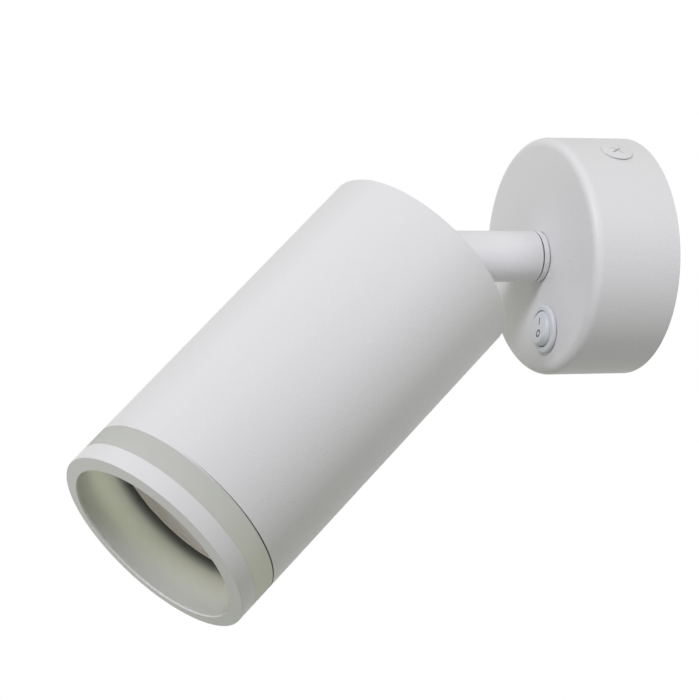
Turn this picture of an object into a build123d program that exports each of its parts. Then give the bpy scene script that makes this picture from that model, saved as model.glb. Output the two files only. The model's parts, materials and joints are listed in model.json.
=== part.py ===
from build123d import *
import os
from math import cos, radians, sin, sqrt, tan

# White wall spotlight: a switched round canopy, a swivelling arm and a tilting head.
# Sizes are millimetres, angles are degrees.
# Wall and arm parts are drawn with Z as the distance from the wall and Y up.
# Head parts are drawn with Z along the head and the hinge pin at the origin.

# Canopy cup
canopy_diameter = 66.0
canopy_depth = 26.2
canopy_wall = 1.2
canopy_edge_radius = 2.5

# Wall plate in the canopy's open back, with two ears for the side screws
plate_thickness = 1.2
plate_clearance = 0.4
wall_hole_diameter = 4.6
wall_hole_circle = 44.0
ear_width = 10.0
ear_clearance = 0.25
ear_boss_length = 1.6
ear_boss_wall = 1.3

# Cable bush in the middle of the plate
cable_bore = 8.0
cable_bush_wall = 1.5
cable_bush_height = 4.0
cable_flange_width = 1.6
cable_flange_thickness = 1.4

# Side screws
side_screw_diameter = 4.0
side_screw_length = 7.0
side_head_diameter = 8.8
side_head_edge = 0.2
side_head_crown = 0.35
side_screw_height = 10.6
side_screw_angle = 41.0
cross_length = 4.4
cross_width = 0.7
cross_depth = 0.4

# Two-pole terminal block
terminal_poles = 2
terminal_pitch = 8.0
terminal_length = 12.0
terminal_height = 12.0
terminal_rim_margin = 15.0
terminal_y = -4.0
terminal_edge_radius = 0.8
sleeve_height = 4.5
sleeve_bore = 2.8
sleeve_wall = 0.8
sleeve_inset = 1.0
clamp_offset = 3.2
clamp_diameter = 2.5
clamp_head_diameter = 3.4
clamp_head_height = 1.4
block_screw_diameter = 3.0
block_head_diameter = 5.0
block_head_height = 2.0
block_head_depth = 2.6

# Protective earth screw
earth_rim_margin = 11.0
earth_y = 3.0
earth_diameter = 4.0
earth_head_diameter = 7.6
earth_head_height = 2.2
earth_washer_diameter = 9.0
earth_washer_thickness = 0.8

# Round rocker switch between the arm and the canopy's lower edge
switch_rim_margin = 12.5
switch_flange_diameter = 13.4
switch_flange_height = 1.4
switch_flange_round = 0.45
switch_body_diameter = 12.0
switch_body_depth = 12.5
switch_clip_reach = 0.7
switch_clip_length = 3.2
switch_clip_width = 4.0
blade_offset = 3.0
blade_width = 2.8
blade_thickness = 0.5
blade_length = 6.0
blade_root = 1.5
rocker_diameter = 9.8
rocker_gap = 0.2
rocker_pivot_height = 0.4
rocker_face = 1.6
rocker_face_round = 0.5
rocker_throw = 13.0
rocker_skirt = 3.4
trunnion_diameter = 1.2
trunnion_reach = 0.8

# Swivel between canopy and arm
collar_width = 1.9
collar_edge = 0.15
collar_groove_width = 0.3
collar_groove_depth = 0.45
collar_gap = 0.3
collar_dish = 1.2
collar_relief_depth = 0.5
bush_spigot_diameter = 12.4
nipple_diameter = 10.0
nipple_bore = 8.0
nipple_engagement = 9.0
nipple_tail = 1.0
swivel_gap = 0.1
spring_washer_diameter = 17.0
spring_washer_thickness = 0.4
spring_washer_dish = 0.4
stop_washer_diameter = 17.0
stop_washer_thickness = 1.0
stop_tab_width = 3.0
stop_tab_reach = 12.0
swivel_nut_flats = 14.0
swivel_nut_height = 4.0
stop_pin_diameter = 2.5
stop_pin_radius = 10.5
stop_pin_length = 2.4

# Arm and its hinge tongue
arm_diameter = 14.2
pivot_reach = 61.6
tongue_shoulder = 7.6
tongue_thickness = 6.0
tongue_radius = 7.0
knuckle_spigot_length = 10.0
knuckle_spigot_wall = 0.7
groove_width = 3.2
groove_wall = 0.6

# Hinge screw stack
head_tilt = 41.4
hinge_screw_diameter = 4.0
hinge_head_diameter = 7.0
hinge_head_height = 2.2
hinge_nut_flats = 7.0
hinge_nut_height = 3.2
hinge_screw_tail = 0.8
hinge_washer_diameter = 9.0
hinge_washer_thickness = 0.6
hinge_ear_thickness = 3.2
hinge_ear_radius = 6.0

# Head tube and the cap recessed in its rear
head_diameter = 60.0
tube_wall = 1.5
tube_length = 99.2
rear_rim_offset = 3.05
notch_clearance = 0.3
rebate_width = 0.3
rebate_depth = 0.5
cap_recess = 5.0
cap_thickness = 3.0
cap_skirt_length = 7.0
cap_skirt_wall = 2.0
cap_bush_offset = 11.5
cap_bush_bore = 4.4
cap_bush_wall = 1.0
cap_bush_flange = 0.9
cap_bush_flange_thickness = 0.8

# Acrylic ring and white bezel at the front
ring_band = 7.0
ring_rear_spigot = 8.0
bezel_side = 5.4
bezel_rise = 0.6
bezel_bore = 52.2
bezel_bore_depth = 1.1
bezel_edge_radius = 0.3

# Reflector lamp with a twist-lock two-pin base
lamp_recess = 17.2
lamp_diameter = 50.0
lamp_length = 47.8
lamp_neck_diameter = 19.0
lamp_neck_length = 9.0
lamp_base_length = 14.0
lamp_base_diameter = 26.0
lamp_rim_length = 8.0
lamp_rim_width = 0.9
lens_thickness = 1.4
lens_inset = 0.3
pin_spacing = 10.0
pin_neck_diameter = 3.0
pin_neck_length = 4.5
pin_head_diameter = 4.8
pin_head_length = 2.5

# Ceramic lamp holder on a bent strip
holder_length = 30.0
holder_width = 17.0
holder_height = 18.0
holder_seat_gap = 0.2
socket_clearance = 0.6
contact_thickness = 0.8
holder_screw_spacing = 22.0
holder_screw_diameter = 3.0
holder_head_diameter = 5.4
holder_head_height = 1.8
holder_head_depth = 2.6
strip_thickness = 1.2
strip_width = 14.0
strip_span = 31.0
foot_length = 8.0
strip_wire_hole = 12.0
bracket_screw_diameter = 3.0
bracket_head_diameter = 5.4
bracket_head_height = 1.8

# Insulated inner leads
lead_diameter = 1.4
lead_gap = 0.1
lead_spacing = 1.6

# Fits
thread_clearance = 0.05
running_clearance = 0.05
press_clearance = 0.04
hole_clearance = 0.1
screw_tail = 0.2
overshoot = 2.0

# Sizes worked out from the ones above
canopy_radius = canopy_diameter / 2
canopy_inner_radius = canopy_radius - canopy_wall
canopy_inner_face = canopy_depth - canopy_wall
plate_radius = canopy_inner_radius - plate_clearance
ear_face = sqrt((canopy_inner_radius - ear_clearance) ** 2 - (ear_width / 2) ** 2)
cable_bush_radius = cable_bore / 2 + cable_bush_wall
terminal_x = terminal_rim_margin - canopy_radius
earth_x = canopy_radius - earth_rim_margin
sleeve_axis = plate_thickness + sleeve_height
sleeve_radius = sleeve_bore / 2 + sleeve_wall
terminal_top = plate_thickness + terminal_height
block_seat = terminal_top - block_head_depth
switch_drop = canopy_radius - switch_rim_margin
switch_body_floor = canopy_depth - switch_body_depth
blade_tip = switch_body_floor - blade_length
rocker_radius = rocker_diameter / 2
nipple_radius = nipple_diameter / 2
nipple_hole = nipple_radius + running_clearance
arm_radius = arm_diameter / 2
collar_front = canopy_depth + collar_width
arm_start = collar_front + collar_gap
arm_end = pivot_reach - tongue_shoulder
spring_washer_top = canopy_inner_face - swivel_gap
spring_washer_base = spring_washer_top - spring_washer_thickness - spring_washer_dish
stop_washer_base = spring_washer_base - stop_washer_thickness
swivel_nut_base = stop_washer_base - swivel_nut_height
nipple_start = swivel_nut_base - nipple_tail
nipple_end = arm_start + nipple_engagement
hinge_hole = hinge_screw_diameter / 2 + running_clearance
groove_floor = hinge_hole + groove_wall
hinge_ear_face = tongue_thickness / 2 + running_clearance + hinge_washer_thickness
hinge_ear_back = hinge_ear_face + hinge_ear_thickness
head_radius = head_diameter / 2
tube_inner_radius = head_radius - tube_wall
tube_front = rear_rim_offset + tube_length
cap_face = rear_rim_offset + cap_recess
cap_inside = cap_face + cap_thickness
cap_radius = tube_inner_radius - press_clearance
bezel_radius = bezel_bore / 2
ring_spigot_radius = tube_inner_radius - press_clearance
bezel_back = tube_front + ring_band
bezel_front = bezel_back + bezel_side
bezel_lip = bezel_front + bezel_rise
ring_front = bezel_lip - bezel_bore_depth
lamp_front = bezel_front - lamp_recess
lamp_back = lamp_front - lamp_length
holder_front = lamp_back - holder_seat_gap
holder_back = holder_front - holder_height
strip_top = holder_back
pin_length = pin_neck_length + pin_head_length
socket_radius = pin_head_diameter / 2 + socket_clearance
socket_depth = pin_length - holder_seat_gap + contact_thickness + hole_clearance
foot_screw_x = strip_span / 2 + foot_length / 2

standing = (Align.CENTER, Align.CENTER, Align.MIN)
wall_frame = Plane(origin=(0, 0, 0), x_dir=(1, 0, 0), z_dir=(0, -1, 0)).location
head_direction = (0, -cos(radians(head_tilt)), -sin(radians(head_tilt)))
head_frame = Plane(origin=(0, -pivot_reach, 0), x_dir=(1, 0, 0), z_dir=head_direction).location
side_screw_frame = Rot(0, 0, 90 - side_screw_angle)
switch_frame = Pos(0, -switch_drop, canopy_depth)


def rod(radius, low, high):
    return Pos(0, 0, low) * Cylinder(radius, high - low, align=standing)


def ring(outer, inner, low, high):
    return rod(outer, low, high) - rod(inner, low - overshoot, high + overshoot)


def hexagon(flats, low, high):
    return Pos(0, 0, low) * extrude(RegularPolygon(flats / 2, 6, major_radius=False), high - low)


def along_x(part):
    return Rot(0, 90, 0) * part


def turned(*outline):
    profile = Plane.XZ * Polyline(*outline, close=True)
    return revolve(make_face(profile), Axis.Z)


def domed_head(radius, edge, crown):
    arc = TangentArc((0, edge + crown), (radius, edge), tangent=(1, 0))
    sides = Polyline((radius, edge), (radius, 0), (0, 0), (0, edge + crown))
    return revolve(make_face(Plane.XZ * (arc + sides)), Axis.Z)


def pan_screw(shank_radius, shank_length, crown_radius, head_height):
    shank = rod(shank_radius, -shank_length, 0)
    return shank + domed_head(crown_radius, head_height / 2, head_height / 2)


def lead(points, diameter):
    # Straight runs joined by arcs as large as the shorter run beside each corner allows
    radii = []
    for before, corner, after in zip(points, points[1:], points[2:]):
        run_in = Vector(*corner) - Vector(*before)
        run_out = Vector(*after) - Vector(*corner)
        turn = radians(run_in.get_angle(run_out))
        radii.append(0.45 * min(run_in.length, run_out.length) / tan(turn / 2))
    path = FilletPolyline(*points, radius=radii)
    section = Plane(origin=path @ 0, z_dir=path % 0) * Circle(diameter / 2)
    print("lead of", round(path.length, 1), "mm, tightest bend", round(min(radii), 1), "mm")
    return sweep(section, path=path)


def wall_plate():
    plate = rod(plate_radius, 0, plate_thickness)
    ear_height = side_screw_height + ear_width / 2
    ear_outline = Pos(0, side_screw_height / 2) * Rectangle(ear_width, side_screw_height)
    ear_outline += Pos(0, side_screw_height) * Circle(ear_width / 2)
    ear = Pos(ear_face, 0, 0) * extrude(Plane.YZ * ear_outline, -plate_thickness)
    boss_radius = side_screw_diameter / 2 + ear_boss_wall
    boss = along_x(rod(boss_radius, ear_face - plate_thickness - ear_boss_length, ear_face))
    ear += Pos(0, 0, side_screw_height) * boss
    thread_radius = side_screw_diameter / 2 + thread_clearance
    thread = along_x(rod(thread_radius, ear_face - ear_height, ear_face + overshoot))
    ear -= Pos(0, 0, side_screw_height) * thread
    for turn in (0, 180):
        plate += Rot(0, 0, turn) * side_screw_frame * ear
    plate -= rod(cable_bush_radius + press_clearance, -overshoot, plate_thickness + overshoot)
    wall_hole = rod(wall_hole_diameter / 2, -overshoot, plate_thickness + overshoot)
    for side in (-1, 1):
        plate -= side_screw_frame * Pos(0, side * wall_hole_circle / 2, 0) * wall_hole
    block_thread = block_screw_diameter / 2 + thread_clearance
    plate -= Pos(terminal_x, terminal_y, 0) * rod(block_thread, -overshoot, plate_thickness + overshoot)
    earth_thread = earth_diameter / 2 + thread_clearance
    plate -= Pos(earth_x, earth_y, 0) * rod(earth_thread, -overshoot, plate_thickness + overshoot)
    return plate


def cable_grommet():
    bore = cable_bore / 2
    flange = cable_bush_radius + cable_flange_width
    flange_top = plate_thickness + cable_flange_thickness
    return turned(
        (bore, 0),
        (cable_bush_radius, 0),
        (cable_bush_radius, plate_thickness),
        (flange, plate_thickness),
        (flange, flange_top),
        (cable_bush_radius, flange_top),
        (cable_bush_radius, cable_bush_height),
        (bore, cable_bush_height),
    )


def pole_positions():
    middle = (terminal_poles - 1) / 2
    return [(pole - middle) * terminal_pitch for pole in range(terminal_poles)]


def clamp_positions():
    return [(side * clamp_offset, y) for y in pole_positions() for side in (-1, 1)]


def terminal_block():
    width = terminal_poles * terminal_pitch
    block = Pos(0, 0, plate_thickness) * Box(terminal_length, width, terminal_height, align=standing)
    block = fillet(block.edges().filter_by(Axis.Z), terminal_edge_radius)
    wire_way = along_x(rod(sleeve_radius + press_clearance, -terminal_length, terminal_length))
    for y in pole_positions():
        block -= Pos(0, y, sleeve_axis) * wire_way
    access = rod(clamp_head_diameter / 2 + hole_clearance, sleeve_axis, terminal_top + overshoot)
    for x, y in clamp_positions():
        block -= Pos(x, y, 0) * access
    block -= rod(block_screw_diameter / 2 + thread_clearance, 0, terminal_top)
    block -= rod(block_head_diameter / 2 + hole_clearance, block_seat, terminal_top + overshoot)
    return Pos(terminal_x, terminal_y, 0) * block


def terminal_sleeves():
    half = terminal_length / 2 - sleeve_inset
    sleeve = Pos(0, 0, sleeve_axis) * along_x(ring(sleeve_radius, sleeve_bore / 2, -half, half))
    thread = rod(clamp_diameter / 2 + thread_clearance, sleeve_axis, sleeve_axis + terminal_height)
    for side in (-1, 1):
        sleeve -= Pos(side * clamp_offset, 0, 0) * thread
    return [Pos(terminal_x, terminal_y + y, 0) * sleeve for y in pole_positions()]


def terminal_screws():
    tip = sleeve_axis + lead_diameter / 2
    head_seat = sleeve_axis + sleeve_radius + hole_clearance
    screw = pan_screw(clamp_diameter / 2, head_seat - tip, clamp_head_diameter / 2, clamp_head_height)
    return [Pos(terminal_x + x, terminal_y + y, head_seat) * screw for x, y in clamp_positions()]


def block_screw():
    shank = block_seat - screw_tail
    screw = pan_screw(block_screw_diameter / 2, shank, block_head_diameter / 2, block_head_height)
    return Pos(terminal_x, terminal_y, block_seat) * screw


def earth_washer():
    hole = earth_diameter / 2 + thread_clearance
    top = plate_thickness + earth_washer_thickness
    return Pos(earth_x, earth_y, 0) * ring(earth_washer_diameter / 2, hole, plate_thickness, top)


def earth_screw():
    seat = plate_thickness + earth_washer_thickness
    screw = pan_screw(earth_diameter / 2, seat - screw_tail, earth_head_diameter / 2, earth_head_height)
    return Pos(earth_x, earth_y, seat) * screw


def canopy():
    cup = fillet(rod(canopy_radius, 0, canopy_depth).edges().group_by(Axis.Z)[-1], canopy_edge_radius)
    inside = rod(canopy_inner_radius, -overshoot, canopy_inner_face)
    inner_edge = inside.edges().group_by(Axis.Z)[-1]
    cup -= fillet(inner_edge, max(canopy_edge_radius - canopy_wall, canopy_wall / 2))
    cup -= rod(bush_spigot_diameter / 2 + press_clearance, 0, canopy_depth + overshoot)
    seat_radius = arm_radius - collar_groove_depth
    cup -= ring(arm_radius - collar_edge / 2, seat_radius, canopy_depth - collar_relief_depth, canopy_depth)
    switch_hole = switch_body_diameter / 2 + hole_clearance
    cup -= switch_frame * rod(switch_hole, -canopy_wall - overshoot, overshoot)
    side_hole = rod(side_screw_diameter / 2 + hole_clearance, ear_face - overshoot, canopy_radius + overshoot)
    for turn in (0, 180):
        cup -= Rot(0, 0, turn) * side_screw_frame * Pos(0, 0, side_screw_height) * along_x(side_hole)
    return cup


def canopy_screws():
    screw = rod(side_screw_diameter / 2, -side_screw_length, 0)
    screw += domed_head(side_head_diameter / 2, side_head_edge, side_head_crown)
    head_top = side_head_edge + side_head_crown
    slot = Pos(0, 0, head_top) * Box(cross_length, cross_width, 2 * cross_depth)
    screw -= slot
    screw -= Rot(0, 0, 90) * slot
    seated = side_screw_frame * Pos(canopy_radius, 0, side_screw_height) * along_x(screw)
    return [Rot(0, 0, turn) * seated for turn in (0, 180)]


def swivel_bush():
    spigot = bush_spigot_diameter / 2
    groove_top = canopy_depth + collar_groove_width
    return turned(
        (nipple_hole, canopy_inner_face),
        (spigot, canopy_inner_face),
        (spigot, canopy_depth),
        (arm_radius - collar_groove_depth, canopy_depth),
        (arm_radius - collar_groove_depth, groove_top),
        (arm_radius - collar_edge, groove_top),
        (arm_radius, groove_top + collar_edge),
        (arm_radius, collar_front - collar_edge),
        (arm_radius - collar_edge, collar_front),
        (nipple_hole, collar_front - collar_dish),
    )


def stop_pin():
    pin = rod(stop_pin_diameter / 2, canopy_inner_face - stop_pin_length, canopy_inner_face)
    return Pos(0, stop_pin_radius, 0) * pin


def switch_housing():
    flange = rod(switch_flange_diameter / 2, 0, switch_flange_height)
    flange = fillet(flange.edges().group_by(Axis.Z)[-1], switch_flange_round)
    body_radius = switch_body_diameter / 2
    housing = flange + rod(body_radius, -switch_body_depth, 0)
    clip_top = -canopy_wall - hole_clearance
    clip_root = body_radius - switch_clip_reach
    clip_outline = Polyline(
        (clip_root, clip_top),
        (body_radius + switch_clip_reach, clip_top),
        (body_radius, clip_top - switch_clip_length),
        (clip_root, clip_top - switch_clip_length),
        close=True,
    )
    clip = extrude(make_face(Plane.XZ * clip_outline), switch_clip_width / 2, both=True)
    housing += [clip, Rot(0, 0, 180) * clip]
    well_floor = rocker_pivot_height - rocker_radius - rocker_gap
    housing -= rod(rocker_radius + rocker_gap, well_floor, switch_flange_height + overshoot)
    trunnion_hole = trunnion_diameter / 2 + running_clearance
    half = rocker_radius + trunnion_reach + rocker_gap
    housing -= Pos(0, 0, rocker_pivot_height) * along_x(rod(trunnion_hole, -half, half))
    blade_slot = Box(blade_thickness + hole_clearance, blade_width + hole_clearance, 2 * blade_root)
    for side in (-1, 1):
        housing -= Pos(side * blade_offset, 0, -switch_body_depth) * blade_slot
    return switch_frame * housing


def switch_terminals():
    length = blade_length + blade_root
    blade = Box(blade_thickness, blade_width, length, align=standing)
    root = -switch_body_depth - blade_length
    return [switch_frame * Pos(side * blade_offset, 0, root) * blade for side in (-1, 1)]


def switch_rocker():
    # A ball on two trunnions with a flat face, drawn level and then tipped on
    ball = Sphere(rocker_radius) - rod(rocker_diameter, rocker_face, rocker_diameter)
    ball = fillet(ball.edges().group_by(Axis.Z)[-1], rocker_face_round)
    ball -= rod(rocker_diameter, -rocker_diameter, -rocker_skirt)
    half = rocker_radius + trunnion_reach
    ball += along_x(rod(trunnion_diameter / 2, -half, half))
    return switch_frame * Pos(0, 0, rocker_pivot_height) * Rot(-rocker_throw, 0, 0) * ball


def canopy_leads():
    pole_y = [terminal_y + y for y in pole_positions()]
    block_side = terminal_x + terminal_length / 2
    blade_x = blade_offset + blade_thickness / 2 + lead_diameter / 2 + lead_gap
    lead_y = nipple_bore / 4
    lead_top = nipple_start - 2 * lead_gap
    half_gap = lead_spacing / 2
    solder = switch_body_floor - 1.0
    below_blade = blade_tip - 2.0
    live = [
        (block_side - 2.0, pole_y[0], sleeve_axis),
        (block_side + 3.0, pole_y[0], sleeve_axis),
        (-blade_x - 2.0, -switch_drop + 6.0, below_blade),
        (-blade_x, -switch_drop, below_blade),
        (-blade_x, -switch_drop, solder),
    ]
    switched = [
        (blade_x, -switch_drop, solder),
        (blade_x, -switch_drop, below_blade),
        (blade_x + 3.0, -switch_drop + 8.0, below_blade + 1.0),
        (half_gap + 3.0, -3.0, lead_top - 5.0),
        (half_gap, lead_y, lead_top - 3.0),
        (half_gap, lead_y, lead_top),
    ]
    neutral = [
        (block_side - 2.0, pole_y[-1], sleeve_axis),
        (block_side + 3.0, pole_y[-1], sleeve_axis),
        (-half_gap - 3.0, lead_y, lead_top - 5.0),
        (-half_gap, lead_y, lead_top - 3.0),
        (-half_gap, lead_y, lead_top),
    ]
    return [lead(route, lead_diameter) for route in (live, switched, neutral)]


def arm_tube():
    return turned(
        (nipple_hole, arm_start),
        (arm_radius - collar_edge, arm_start),
        (arm_radius, arm_start + collar_edge),
        (arm_radius, arm_end),
        (nipple_hole, arm_end),
    )


def arm_nipple():
    return ring(nipple_radius, nipple_bore / 2, nipple_start, nipple_end)


def spring_washer():
    outer = spring_washer_diameter / 2
    low = spring_washer_base
    return turned(
        (nipple_hole, low),
        (outer, low + spring_washer_dish),
        (outer, spring_washer_top),
        (nipple_hole, low + spring_washer_thickness),
    )


def stop_washer():
    washer = rod(stop_washer_diameter / 2, stop_washer_base, spring_washer_base)
    tab = Box(stop_tab_width, stop_tab_reach, stop_washer_thickness, align=standing)
    washer += Pos(0, -stop_tab_reach / 2, stop_washer_base) * tab
    return washer - rod(nipple_hole, stop_washer_base - overshoot, spring_washer_base + overshoot)


def swivel_nut():
    nut = hexagon(swivel_nut_flats, swivel_nut_base, stop_washer_base)
    return nut - rod(nipple_hole, swivel_nut_base - overshoot, stop_washer_base + overshoot)


def hinge_knuckle():
    outline = Pos(0, pivot_reach - tongue_shoulder / 2) * Rectangle(2 * tongue_radius, tongue_shoulder)
    outline += Pos(0, pivot_reach) * Circle(tongue_radius)
    tongue = extrude(Plane.YZ * outline, tongue_thickness / 2, both=True)
    tongue -= Pos(0, 0, pivot_reach) * along_x(rod(hinge_hole, -tongue_thickness, tongue_thickness))
    groove = Box(groove_width, tongue_radius, 3 * tongue_radius, align=(Align.CENTER, Align.MIN, Align.MIN))
    tongue -= Pos(0, groove_floor, arm_end) * groove
    spigot_radius = nipple_hole - press_clearance
    spigot_start = arm_end - knuckle_spigot_length
    spigot = ring(spigot_radius, spigot_radius - knuckle_spigot_wall, spigot_start, arm_end)
    return tongue + spigot


def arm_leads():
    groove_y = groove_floor + lead_diameter / 2 + lead_gap
    nipple_y = nipple_bore / 4
    knuckle_start = arm_end - knuckle_spigot_length
    sides = [side * lead_spacing / 2 for side in (-1, 1)]
    routes = [
        [
            (x, nipple_y, nipple_start + lead_gap),
            (x, nipple_y, arm_start),
            (x, groove_y, knuckle_start),
            (x, groove_y, pivot_reach + tongue_radius / 2),
        ]
        for x in sides
    ]
    return [lead(route, lead_diameter) for route in routes]


def head_tube():
    rebate_radius = head_radius - rebate_depth
    tube = turned(
        (tube_inner_radius, rear_rim_offset),
        (head_radius, rear_rim_offset),
        (head_radius, tube_front - rebate_width),
        (rebate_radius, tube_front - rebate_width),
        (rebate_radius, tube_front),
        (tube_inner_radius, tube_front),
    )
    # The arm lies in this notch when the head hangs straight down
    notch = Rot(90, 0, 0) * rod(arm_radius + notch_clearance, head_radius / 2, head_radius + overshoot)
    return tube - notch


def rear_cap():
    cap = rod(cap_radius, cap_face, cap_inside)
    skirt_top = cap_inside + cap_skirt_length
    cap += ring(cap_radius, cap_radius - cap_skirt_wall, cap_inside, skirt_top)
    outline = Pos(0, cap_face / 2) * Rectangle(2 * hinge_ear_radius, cap_face)
    outline += Circle(hinge_ear_radius)
    ear = extrude(Plane.YZ * outline, hinge_ear_thickness)
    cap += Pos(hinge_ear_face, 0, 0) * ear
    cap += Pos(-hinge_ear_back, 0, 0) * ear
    cap -= along_x(rod(hinge_hole, -cap_radius, cap_radius))
    bush_radius = cap_bush_bore / 2 + cap_bush_wall + press_clearance
    cap -= Pos(0, cap_bush_offset, 0) * rod(bush_radius, cap_face - overshoot, cap_inside + overshoot)
    thread = bracket_screw_diameter / 2 + thread_clearance
    for side in (-1, 1):
        cap -= Pos(side * foot_screw_x, 0, 0) * rod(thread, cap_face - overshoot, cap_inside + overshoot)
    return cap


def cap_bush():
    bore = cap_bush_bore / 2
    body = bore + cap_bush_wall
    flange = body + cap_bush_flange
    low = cap_face - cap_bush_flange_thickness
    high = cap_inside + cap_bush_flange_thickness
    bush = turned(
        (bore, low),
        (flange, low),
        (flange, cap_face),
        (body, cap_face),
        (body, cap_inside),
        (flange, cap_inside),
        (flange, high),
        (bore, high),
    )
    return Pos(0, cap_bush_offset, 0) * bush


def hinge_screw():
    shank = 2 * hinge_ear_back + hinge_nut_height + hinge_screw_tail
    screw = pan_screw(hinge_screw_diameter / 2, shank, hinge_head_diameter / 2, hinge_head_height)
    return Pos(hinge_ear_back, 0, 0) * along_x(screw)


def hinge_nut():
    nut = hexagon(hinge_nut_flats, -hinge_ear_back - hinge_nut_height, -hinge_ear_back)
    nut -= rod(hinge_hole, -cap_radius, cap_radius)
    return along_x(nut)


def hinge_washers():
    washer = ring(hinge_washer_diameter / 2, hinge_hole, 0, hinge_washer_thickness)
    low = hinge_ear_face - hinge_washer_thickness
    return [along_x(Pos(0, 0, start) * washer) for start in (low, -hinge_ear_face)]


def lamp_bracket():
    # Hat section bent from one strip: two feet on the cap, two legs and a seat for the holder
    inner = strip_span / 2 - strip_thickness
    outer = strip_span / 2
    toe = outer + foot_length
    foot_top = cap_inside + strip_thickness
    right = [
        (inner, strip_top - strip_thickness),
        (inner, cap_inside),
        (toe, cap_inside),
        (toe, foot_top),
        (outer, foot_top),
        (outer, strip_top),
    ]
    left = [(-x, z) for x, z in reversed(right)]
    outline = Plane.XZ * Polyline(*right, *left, close=True)
    strip = extrude(make_face(outline), strip_width / 2, both=True)
    strip -= rod(strip_wire_hole / 2, strip_top - 2 * strip_thickness, strip_top + overshoot)
    holder_thread = holder_screw_diameter / 2 + thread_clearance
    foot_hole = bracket_screw_diameter / 2 + hole_clearance
    for side in (-1, 1):
        thread = rod(holder_thread, strip_top - 2 * strip_thickness, strip_top + overshoot)
        strip -= Pos(side * holder_screw_spacing / 2, 0, 0) * thread
        hole = rod(foot_hole, cap_inside - overshoot, foot_top + overshoot)
        strip -= Pos(side * foot_screw_x, 0, 0) * hole
    return strip


def bracket_screws():
    shank = strip_thickness + cap_thickness - screw_tail
    screw = pan_screw(bracket_screw_diameter / 2, shank, bracket_head_diameter / 2, bracket_head_height)
    seat = cap_inside + strip_thickness
    return [Pos(side * foot_screw_x, 0, seat) * screw for side in (-1, 1)]


def lamp_holder():
    body = Pos(0, 0, holder_back) * extrude(SlotOverall(holder_length, holder_width), holder_height)
    wire_hole = rod(lead_diameter / 2 + lead_gap, holder_back - overshoot, holder_front - socket_depth)
    for side in (-1, 1):
        body -= Pos(side * pin_spacing / 2, 0, 0) * rod(socket_radius, holder_front - socket_depth, lamp_back)
        body -= Pos(side * pin_spacing / 2, 0, 0) * wire_hole
        hole = rod(holder_screw_diameter / 2 + hole_clearance, holder_back - overshoot, lamp_back)
        hole += rod(holder_head_diameter / 2 + hole_clearance, holder_front - holder_head_depth, lamp_back)
        body -= Pos(side * holder_screw_spacing / 2, 0, 0) * hole
    return body


def holder_contacts():
    floor = holder_front - socket_depth
    contact = rod(socket_radius - hole_clearance, floor, floor + contact_thickness)
    return [Pos(side * pin_spacing / 2, 0, 0) * contact for side in (-1, 1)]


def holder_screws():
    seat = holder_front - holder_head_depth
    shank = seat - strip_top + strip_thickness
    screw = pan_screw(holder_screw_diameter / 2, shank, holder_head_diameter / 2, holder_head_height)
    return [Pos(side * holder_screw_spacing / 2, 0, seat) * screw for side in (-1, 1)]


def head_leads():
    holder_end = holder_front - socket_depth - lead_gap
    routes = [
        [
            (side * lead_spacing / 2, cap_bush_offset, cap_face),
            (side * lead_spacing / 2, cap_bush_offset, cap_inside + 3.0),
            (side * pin_spacing / 2, 0, strip_top - 5.0),
            (side * pin_spacing / 2, 0, holder_end),
        ]
        for side in (-1, 1)
    ]
    return [lead(route, lead_diameter) for route in routes]


def lamp_base():
    neck = lamp_neck_diameter / 2
    wide = lamp_base_diameter / 2
    return turned(
        (0, lamp_back),
        (neck, lamp_back),
        (neck, lamp_back + lamp_neck_length),
        (wide, lamp_back + lamp_base_length),
        (0, lamp_back + lamp_base_length),
    )


def lamp_pins():
    neck_end = lamp_back - pin_neck_length
    pin = rod(pin_neck_diameter / 2, neck_end, lamp_back)
    pin += rod(pin_head_diameter / 2, neck_end - pin_head_length, neck_end)
    return [Pos(side * pin_spacing / 2, 0, 0) * pin for side in (-1, 1)]


def lamp_shell():
    start = lamp_back + lamp_base_length
    rim = lamp_front - lamp_rim_length
    radius = lamp_diameter / 2
    pocket_radius = radius - lamp_rim_width
    pocket_floor = lamp_front - lens_inset - lens_thickness
    flare = TangentArc((radius, rim), (lamp_base_diameter / 2, start), tangent=(0, -1))
    sides = Polyline(
        (lamp_base_diameter / 2, start),
        (0, start),
        (0, pocket_floor),
        (pocket_radius, pocket_floor),
        (pocket_radius, lamp_front),
        (radius, lamp_front),
        (radius, rim),
    )
    return revolve(make_face(Plane.XZ * (flare + sides)), Axis.Z)


def lamp_lens():
    radius = lamp_diameter / 2 - lamp_rim_width - press_clearance
    return rod(radius, lamp_front - lens_inset - lens_thickness, lamp_front - lens_inset)


def diffuser_ring():
    return turned(
        (bezel_radius, tube_front - ring_rear_spigot),
        (ring_spigot_radius, tube_front - ring_rear_spigot),
        (ring_spigot_radius, tube_front),
        (head_radius, tube_front),
        (head_radius, bezel_back),
        (ring_spigot_radius, bezel_back),
        (ring_spigot_radius, ring_front),
        (bezel_radius, ring_front),
    )


def front_bezel():
    socket = ring_spigot_radius + press_clearance
    bezel = turned(
        (socket, bezel_back),
        (head_radius, bezel_back),
        (head_radius, bezel_front),
        (bezel_radius, bezel_lip),
        (bezel_radius, ring_front),
        (socket, ring_front),
    )
    rim = bezel.edges().filter_by(GeomType.CIRCLE).group_by(SortBy.RADIUS)[-1].sort_by(Axis.Z)[-1]
    lip = bezel.edges().filter_by(GeomType.CIRCLE).group_by(SortBy.RADIUS)[0].sort_by(Axis.Z)[-1]
    return fillet([rim, lip], bezel_edge_radius)


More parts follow.
